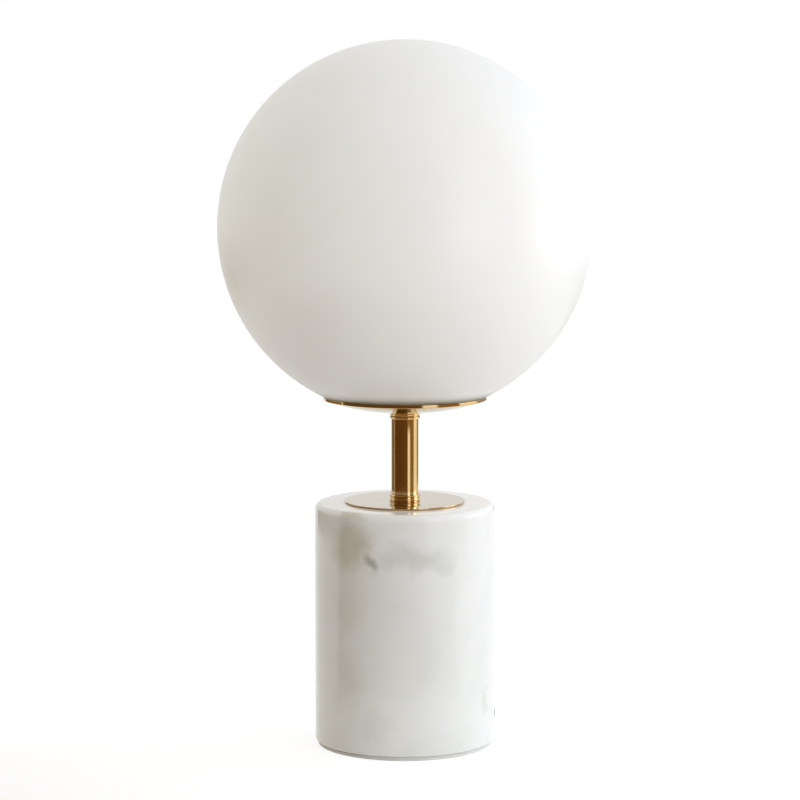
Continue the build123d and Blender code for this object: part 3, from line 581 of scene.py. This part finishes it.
STONE = (0.885, 0.895, 0.892)
VEIN_GREY = (0.42, 0.42, 0.40)
CRYSTAL_GREY = (0.70, 0.70, 0.69)
GREY_CLOUD = (0.50, 0.50, 0.46)
# The beige tone below is partly the stone's own colour and partly painted shade on the drum's left
# side.
BEIGE_AND_SHADE_TONE = (0.60, 0.555, 0.45)
# Painted light on the stone: paler towards the top face and towards the foot, for the light that
# falls there; colour, and the heights where they start and are full.
PAINTED_LIGHT_LAYERS = [
    ((0.955, 0.96, 0.965), 125 * MM, 131 * MM),
    ((0.92, 0.938, 0.926), 85 * MM, 20 * MM),
]
CLOUD_FULL = 0.85    # a patch is full where its spot is above this
CLOUD_GAIN = 1.35    # factor on the depth of every patch
# Cloudy patches: azimuth in degrees, height, size (across, up and down) and depth.
GREY_CLOUDS = [
    (-21, 106 * MM, (8 * MM, 6 * MM), 0.75),
    (-28, 114 * MM, (7 * MM, 7 * MM), 0.24),
    (-37, 123 * MM, (6 * MM, 5 * MM), 0.24),
    (8, 108 * MM, (30 * MM, 12 * MM), 0.30),
    (24, 103 * MM, (14 * MM, 7 * MM), 0.20),
    (63, 27 * MM, (8 * MM, 12 * MM), 0.20),
    (150, 70 * MM, (26 * MM, 16 * MM), 0.5),
    (-130, 96 * MM, (18 * MM, 22 * MM), 0.4),
]
# Beige patches, all on the drum's left front: partly the stone's own beige, partly painted shade
# for the darker light on that side.
BEIGE_AND_SHADE_CLOUDS = [
    (-38, 113 * MM, (19 * MM, 21 * MM), 0.55),
    (-37, 130 * MM, (12 * MM, 7 * MM), 0.40),
    (-40, 84 * MM, (18 * MM, 26 * MM), 0.18),
    (-40, 40 * MM, (15 * MM, 32 * MM), 0.12),
    (-20, 18 * MM, (15 * MM, 14 * MM), 0.12),
]


def white_marble():
    """Polished white marble: soft grey clouds, beige clouds that are partly painted shade on the
    left side, painted light at the top and foot, and a few thin veins.
    """
    finish = Finish("white_marble", IOR=1.52, Subsurface_Weight=0.15, Subsurface_Scale=3 * MM,
                    Subsurface_Radius=(1.0, 0.9, 0.8))
    tree = finish.tree
    broad = ramp(tree, finish.noise(16, 4, 0.55, 0.8), 0.42, 0.78)
    crystals = finish.noise(900, 2)
    wavy = finish.wavy_place(60, 11 * MM)
    grey = maths(tree, "MULTIPLY", broad, 0.16)
    grey = clouded(finish, wavy, grey, GREY_CLOUDS)
    # Beige patches: partly the stone's tone, partly painted shade on the left side.
    beige_and_shade = clouded(finish, wavy, 0.0, BEIGE_AND_SHADE_CLOUDS)
    up = add_node(tree, "ShaderNodeSeparateXYZ", {"Vector": finish.place}).outputs["Z"]
    stone = STONE
    # Painted light: the stone is made paler towards the top face and towards the foot.
    for colour, start, full in PAINTED_LIGHT_LAYERS:
        stone = mix_colour(tree, ramp(tree, up, start, full), stone, colour)
    stone = mix_colour(tree, beige_and_shade, stone, BEIGE_AND_SHADE_TONE)
    stone = mix_colour(tree, grey, stone, GREY_CLOUD)
    ridge = finish.noise(13, 5, 0.5, 1.4, noise_type="RIDGED_MULTIFRACTAL")
    vein = ramp(tree, ridge, 0.92, 1.08)
    stone = mix_colour(tree, maths(tree, "MULTIPLY", vein, 0.28), stone, VEIN_GREY)
    stone = mix_colour(tree, maths(tree, "MULTIPLY", crystals, 0.05), stone, CRYSTAL_GREY)
    finish.set("Base Color", stone)
    finish.set("Roughness", ramp(tree, crystals, 0.3, 0.7, 0.09, 0.13))
    finish.bump(finish.noise(60, 3), 0.06, 0.15 * MM)
    return finish.material


def clouded(finish, wavy, strength, clouds):
    """The strongest, at each point, of a given strength and of wavy patches on the drum's wall."""
    for azimuth, height, (across, up), depth in clouds:
        spot = finish.spot(wavy, on_drum(azimuth, height), (across, across, up))
        patch = ramp(finish.tree, spot, 0.0, CLOUD_FULL)
        patch = maths(finish.tree, "MULTIPLY", patch, depth * CLOUD_GAIN)
        strength = maths(finish.tree, "MAXIMUM", strength, patch)
    return strength


BRASS = (0.80, 0.565, 0.255)
TARNISH = (0.64, 0.41, 0.15)


def aged_brass():
    """Antique brass plate, polished and lacquered, with faint brushing and tarnish."""
    finish = Finish("aged_brass", Metallic=1.0, Specular_Tint=(0.50, 0.50, 0.45),
                    Coat_Weight=1.0, Coat_Roughness=0.06, Coat_IOR=1.5)
    tree = finish.tree
    tarnish = ramp(tree, finish.noise(55, 5, 0.6, 0.4), 0.4, 0.75)
    finish.set("Base Color", mix_colour(tree, maths(tree, "MULTIPLY", tarnish, 0.35),
                                        BRASS, TARNISH))
    strokes = finish.noise(420, 3, 0.6, stretch=(1.0, 1.0, 14.0))
    finish.set("Roughness", ramp(tree, strokes, 0.3, 0.7, 0.09, 0.13))
    finish.bump(strokes, 0.05, 0.01 * MM)
    return finish.material


DULL_SHARE = 0.82      # the darker tone of a plain metal, as a share of its colour
MOTTLE_SHARE = 0.93    # the same for a moulded material


def plain_metal(name, colour, low, high, grain=600, stretch=None):
    """Plated or bare metal whose gloss varies between two roughnesses."""
    finish = Finish(name, Metallic=1.0)
    tree = finish.tree
    grains = finish.noise(grain, 4, 0.55, stretch=stretch)
    dull = tuple(value * DULL_SHARE for value in colour)
    finish.set("Base Color", mix_colour(tree, ramp(tree, grains, 0.35, 0.75), colour, dull))
    finish.set("Roughness", ramp(tree, grains, 0.3, 0.7, low, high))
    finish.bump(grains, 0.08, 0.02 * MM)
    return finish.material


def moulded(name, colour, low, high, grain=350, subsurface=0.0):
    """Moulded or fired material with a slight mottle and a fine skin."""
    finish = Finish(name, Subsurface_Weight=subsurface, Subsurface_Scale=1 * MM)
    tree = finish.tree
    mottle = finish.noise(grain, 4, 0.6)
    second = tuple(value * MOTTLE_SHARE for value in colour)
    finish.set("Base Color", mix_colour(tree, ramp(tree, mottle, 0.3, 0.7), colour, second))
    finish.set("Roughness", ramp(tree, mottle, 0.3, 0.7, low, high))
    finish.bump(finish.noise(grain * 4, 2), 0.15, 0.03 * MM)
    return finish.material


FOAM_TONES = ((0.74, 0.735, 0.72), (0.88, 0.875, 0.86))


def foam_pad():
    """Pale closed-cell foam with fine open pores."""
    finish = Finish("foam_pad", Roughness=0.9)
    tree = finish.tree
    cells = add_node(tree, "ShaderNodeTexVoronoi", {"Vector": finish.place, "Scale": 1400.0})
    pores = ramp(tree, cells.outputs["Distance"], 0.1, 0.5)
    finish.set("Base Color", mix_colour(tree, pores, *FOAM_TONES))
    finish.bump(pores, 0.4, 0.1 * MM)
    return finish.material


FINISHES = {
    "opal_glass": opal_glass(),
    "white_marble": white_marble(),
    "aged_brass": aged_brass(),
    "foam_pad": foam_pad(),
    "bush_plastic": moulded("bush_plastic", (0.40, 0.40, 0.39), 0.35, 0.5),
    "zinc_steel": plain_metal("zinc_steel", (0.66, 0.66, 0.64), 0.28, 0.45),
    "spring_steel": plain_metal("spring_steel", (0.56, 0.57, 0.58), 0.18, 0.32,
                                grain=900, stretch=(1.0, 6.0, 1.0)),
    "holder_plastic": moulded("holder_plastic", (0.84, 0.83, 0.80), 0.28, 0.4, subsurface=0.1),
    "insert_ceramic": moulded("insert_ceramic", (0.80, 0.77, 0.71), 0.55, 0.75, grain=700),
    "terminal_brass": plain_metal("terminal_brass", (0.83, 0.62, 0.28), 0.2, 0.34),
    "nickel_plate": plain_metal("nickel_plate", (0.76, 0.73, 0.68), 0.14, 0.26),
    "black_insulator": moulded("black_insulator", (0.022, 0.022, 0.026), 0.08, 0.16),
    "bulb_plastic": moulded("bulb_plastic", (0.83, 0.83, 0.82), 0.34, 0.46),
    "board_aluminium": moulded("board_aluminium", (0.82, 0.82, 0.81), 0.3, 0.45),
    "bulb_opal": moulded("bulb_opal", (0.90, 0.89, 0.865), 0.38, 0.5, subsurface=0.3),
    "block_nylon": moulded("block_nylon", (0.80, 0.79, 0.75), 0.4, 0.55, subsurface=0.15),
    "brown_insulation": moulded("brown_insulation", (0.10, 0.035, 0.014), 0.3, 0.45),
    "blue_insulation": moulded("blue_insulation", (0.015, 0.10, 0.36), 0.3, 0.45),
}

for part in frame["record"]["subparts"]:
    for material_slot in frame["nodes"][part["node"]].material_slots:
        material_slot.material = FINISHES[part["material_slot"]]


# ---- Turned pieces that stand for CAD nodes ---------------------------------------------------


def stand_for(piece, node, body):
    """Puts a piece in the place of a CAD node, which it hides, and on its body."""
    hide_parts(node)
    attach(piece, body)


def dress(node, outline, body, finish, **shape):
    """Turns a fine mesh for a CAD node and puts it in the node's place."""
    piece = turned(node + "_turned", outline, FINISHES[finish], **shape)
    stand_for(piece, node, body)


dress("globe_glass", glass_outline(), "globe", "opal_glass", closed=False, segments=224)
dress("globe_dish", dish_outline(), "stand", "aged_brass", segments=224)
dress("upper_collar", collar_outline("upper_collar", False), "stand", "aged_brass")
dress("lower_collar", collar_outline("lower_collar", True), "stand", "aged_brass")
dress("stem_tube", tube_outline("stem_tube", STEM_WALL, FINE_ROUND), "stand", "aged_brass")
dress("base_disc", disc_outline(), "stand", "aged_brass", segments=224)
dress("base_pad", pad_outline(), "stand", "foam_pad", closed=False, segments=192)

drum = turned("marble_base_turned", drum_outline(), FINISHES["white_marble"], segments=256)
cut_slot(drum, FINISHES["white_marble"])
stand_for(drum, "marble_base", "stand")


def threaded_rod():
    """Hollow rod with a thread at its foot and another at its head."""
    low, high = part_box("threaded_rod")
    pitch, depth = ROD_THREAD
    outer = high.x
    foot_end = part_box("base_washer")[1].z
    head_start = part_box("globe_spring")[0].z
    row = pitch / ROD_TURN_ROWS
    outline = [
        (ROD_BORE, low.z), (outer - depth, low.z),
        *rising(outer, low.z + depth, foot_end, row),
        *rising(outer, head_start, high.z - depth, row),
        (outer - depth, high.z), (ROD_BORE, high.z)]
    common = {"Pitch": pitch, "Depth": depth, "Crest Shift": -0.5, "Run Out": pitch,
              "Least Radius": ROD_BORE + depth}
    return outline, [
        {**common, "Bottom": low.z, "Top": foot_end},
        {**common, "Bottom": head_start, "Top": high.z}]


def bulb_cap():
    """The bulb's pressed screw cap: its thread shows inside and out."""
    low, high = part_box("bulb_cap")
    pitch, depth = CAP_THREAD
    outer = high.x - depth / 2
    inner = outer - CAP_WALL
    row = pitch / CAP_TURN_ROWS
    bottom = low.z + pitch / 4
    outline = [
        *rising(outer, low.z, high.z, row),
        *reversed(rising(inner, low.z, high.z, row))]
    thread = {"Pitch": pitch, "Depth": depth, "Crest Shift": 0.0, "Run Out": pitch / 2,
              "Bottom": bottom, "Top": bottom + CAP_TURNS * pitch, "Least Radius": 0.0}
    return outline, [thread]


rod_profile, rod_threads = threaded_rod()
dress("threaded_rod", rod_profile, "stand", "zinc_steel", segments=96, threads=rod_threads)
cap_profile, cap_threads = bulb_cap()
dress("bulb_cap", cap_profile, "bulb", "nickel_plate", segments=96, threads=cap_threads)


# ---- Studio -----------------------------------------------------------------------------------

# Cards round the lamp, from one azimuth to another, in degrees from the camera's side towards
# +X, then their distance, bottom and top, and the colour that metal sees in them. The last value
# says whether the card also keeps light off the stone.
CARDS = [
    ("front card", (-95, 24), 0.75, (0, 1.3), (0.13, 0.068, 0.02), False),
    ("left card", (-145, -97), 0.75, (0, 0.19), (0.245, 0.168, 0.078), False),
    ("right card", (45, 81), 0.75, (0, 1.3), (0.27, 0.155, 0.035), False),
    ("back right card", (120, 165), 0.75, (0.03, 0.15), (0.43, 0.395, 0.34), False),
    ("low flag", (-85, -12), 0.26, (0, 0.15), (0.115, 0.052, 0.016), True),
    ("low front card", (-12, 24), 0.26, (0, 0.15), (0.13, 0.066, 0.018), False),
    ("stripe shade", (20, 49), 0.12, (0.157, 0.172), (0.2, 0.12, 0.035), False),
    ("front lip", (-85, 24), 0.20, (0, 0.045), (0.20, 0.14, 0.07), False),
    ("right lip", (24, 60), 0.20, (0, 0.095), (0.32, 0.29, 0.24), False),
    ("key glow", (26, 45), 0.74, (0.16, 0.34), (2.8, 2.75, 2.65), False),
    ("side glow", (81, 113), 0.74, (0.16, 0.34), (4.0, 4.0, 4.0), False),
]
# Soft boxes: azimuth, the angle that they fill, distance, bottom and top, radiance and colour.
LAMPS = [
    ("key strip", 38, 20, 0.75, (0, 1.3), 1.6, (1.0, 0.97, 0.92)),
    ("side soft box", 101, 30, 0.75, (0, 1.3), 1.15, (0.95, 0.985, 1.0)),
    ("low bounce", -58, 56, 0.5, (0.0, 0.12), 0.9, (1.0, 0.97, 0.86)),
]


CARD_STEP = 5                      # degrees from one edge of a card's faces to the next
SKY_LEFT = (0.708, 0.662, 0.525)
SKY_RIGHT = (0.86, 0.90, 1.0)
FLOOR_HALF = 6.0
FLOOR_LIT = (0.84, 0.83, 0.80, 1)  # what the floor throws back at the lamp
FLOOR_SEEN = (0.30, 0.30, 0.30, 1)
FLOOR_LIFT = 0.81                  # white that is added to the floor as it is seen
LENS_LENGTH = 134.4                # millimetres, as the sensor's width is
SENSOR_WIDTH = 36.0
CAMERA_PLACE = (-0.0026, -1.5915, 0.3758)
CAMERA_TILT = 6.78                 # degrees below level


def studio_direction(azimuth):
    """Level direction from the lamp's axis; azimuth 0 is the camera's side, and 90 is +X."""
    turn = math.radians(azimuth)
    return Vector((math.sin(turn), -math.cos(turn), 0))


def standing_card(name, azimuths, distance, heights, colour, shades):
    """Curved card that reflections see; one that shades also keeps light off the stone."""
    start, end = azimuths
    steps = max(2, round(abs(end - start) / CARD_STEP))
    shape = bmesh.new()
    rows = []
    for step in range(steps + 1):
        place = studio_direction(start + (end - start) * step / steps) * distance
        rows.append([shape.verts.new(place + Vector((0, 0, height))) for height in heights])
    for near, far in zip(rows, rows[1:]):
        shape.faces.new((near[0], far[0], far[1], near[1]))
    mesh = bpy.data.meshes.new(name)
    shape.to_mesh(mesh)
    shape.free()
    paint = bare_material(name)
    tree = paint.node_tree
    glow = add_node(tree, "ShaderNodeEmission", {"Color": (*colour, 1.0), "Strength": 1.0})
    add_node(tree, "ShaderNodeOutputMaterial", {"Surface": glow.outputs[0]})
    mesh.materials.append(paint)
    card = put_in_scene(name, mesh)
    card.visible_camera = False
    card.visible_diffuse = shades
    card.visible_shadow = shades
    card.visible_transmission = False


def standing_lamp(name, azimuth, spread, distance, heights, radiance, colour):
    """Upright soft box facing the lamp's axis; metal sees the white behind it instead."""
    width = 2 * distance * math.tan(math.radians(spread / 2))
    bottom, top = heights
    light = bpy.data.lights.new(name, "AREA")
    light.shape = "RECTANGLE"
    light.size = width
    light.size_y = top - bottom
    light.energy = radiance * math.pi * width * light.size_y
    light.color = colour
    box = put_in_scene(name, light)
    box.location = studio_direction(azimuth) * distance + Vector((0, 0, (bottom + top) / 2))
    box.rotation_euler = (math.pi / 2, 0, math.radians(azimuth))
    box.visible_camera = False
    box.visible_glossy = False


def background_rays(tree):
    """1 for rays that should see the white background, and 0 for light on the object."""
    rays = add_node(tree, "ShaderNodeLightPath").outputs
    seen = maths(tree, "MAXIMUM", rays["Is Camera Ray"], rays["Is Glossy Ray"])
    return maths(tree, "MAXIMUM", seen, rays["Is Transmission Ray"])


def studio_world():
    """White to the eye, and a soft sky that is brighter on the right to the object."""
    world = bpy.data.worlds.new("studio")
    bpy.context.scene.world = world
    world.use_nodes = True
    tree = world.node_tree
    tree.nodes.clear()
    generated = add_node(tree, "ShaderNodeTexCoord").outputs["Generated"]
    direction = add_node(tree, "ShaderNodeSeparateXYZ", {"Vector": generated}).outputs
    sky = mix_colour(tree, ramp(tree, direction["X"], -1.0, 1.0, smooth=False),
                     SKY_LEFT, SKY_RIGHT)
    level = maths(tree, "MULTIPLY",
                  ramp(tree, direction["Z"], 0.2, 1.0, 1.0, 0.80),
                  ramp(tree, direction["Y"], -1.0, 1.0, 0.90, 1.22, smooth=False))
    light = add_node(tree, "ShaderNodeBackground", {"Color": sky, "Strength": level})
    white = add_node(tree, "ShaderNodeBackground", {"Color": (1, 1, 1, 1), "Strength": 1.0})
    both = add_node(tree, "ShaderNodeMixShader", {
        0: background_rays(tree), 1: light.outputs[0], 2: white.outputs[0]})
    add_node(tree, "ShaderNodeOutputWorld", {"Surface": both.outputs[0]})


def studio_floor():
    """Pale table top that shows white, and keeps the lamp's soft shadow."""
    corners = [(x * FLOOR_HALF, y * FLOOR_HALF, 0) for x, y in ((-1, -1), (1, -1), (1, 1), (-1, 1))]
    mesh = bpy.data.meshes.new("floor")
    mesh.from_pydata(corners, [], [(0, 1, 2, 3)])
    paint = bare_material("pale floor")
    tree = paint.node_tree
    plain = add_node(tree, "ShaderNodeBsdfDiffuse", {"Color": FLOOR_LIT})
    shaded = add_node(tree, "ShaderNodeBsdfDiffuse", {"Color": FLOOR_SEEN})
    lift = add_node(tree, "ShaderNodeEmission", {"Color": (1, 1, 1, 1), "Strength": FLOOR_LIFT})
    seen = add_node(tree, "ShaderNodeAddShader", {0: shaded.outputs[0], 1: lift.outputs[0]})
    both = add_node(tree, "ShaderNodeMixShader", {
        0: background_rays(tree), 1: plain.outputs[0], 2: seen.outputs[0]})
    add_node(tree, "ShaderNodeOutputMaterial", {"Surface": both.outputs[0]})
    mesh.materials.append(paint)
    put_in_scene("floor", mesh)


def studio_camera():
    """The photograph's view: a long lens, a little above the globe, looking slightly down."""
    lens = bpy.data.cameras.new("camera")
    lens.sensor_width = SENSOR_WIDTH
    lens.lens = LENS_LENGTH
    camera = put_in_scene("camera", lens)
    camera.location = CAMERA_PLACE
    camera.rotation_euler = (math.radians(90 - CAMERA_TILT), 0, 0)
    bpy.context.scene.camera = camera


for card in CARDS:
    standing_card(*card)
for lamp in LAMPS:
    standing_lamp(*lamp)
studio_world()
studio_floor()
studio_camera()
bpy.context.scene.view_settings.view_transform = "Standard"
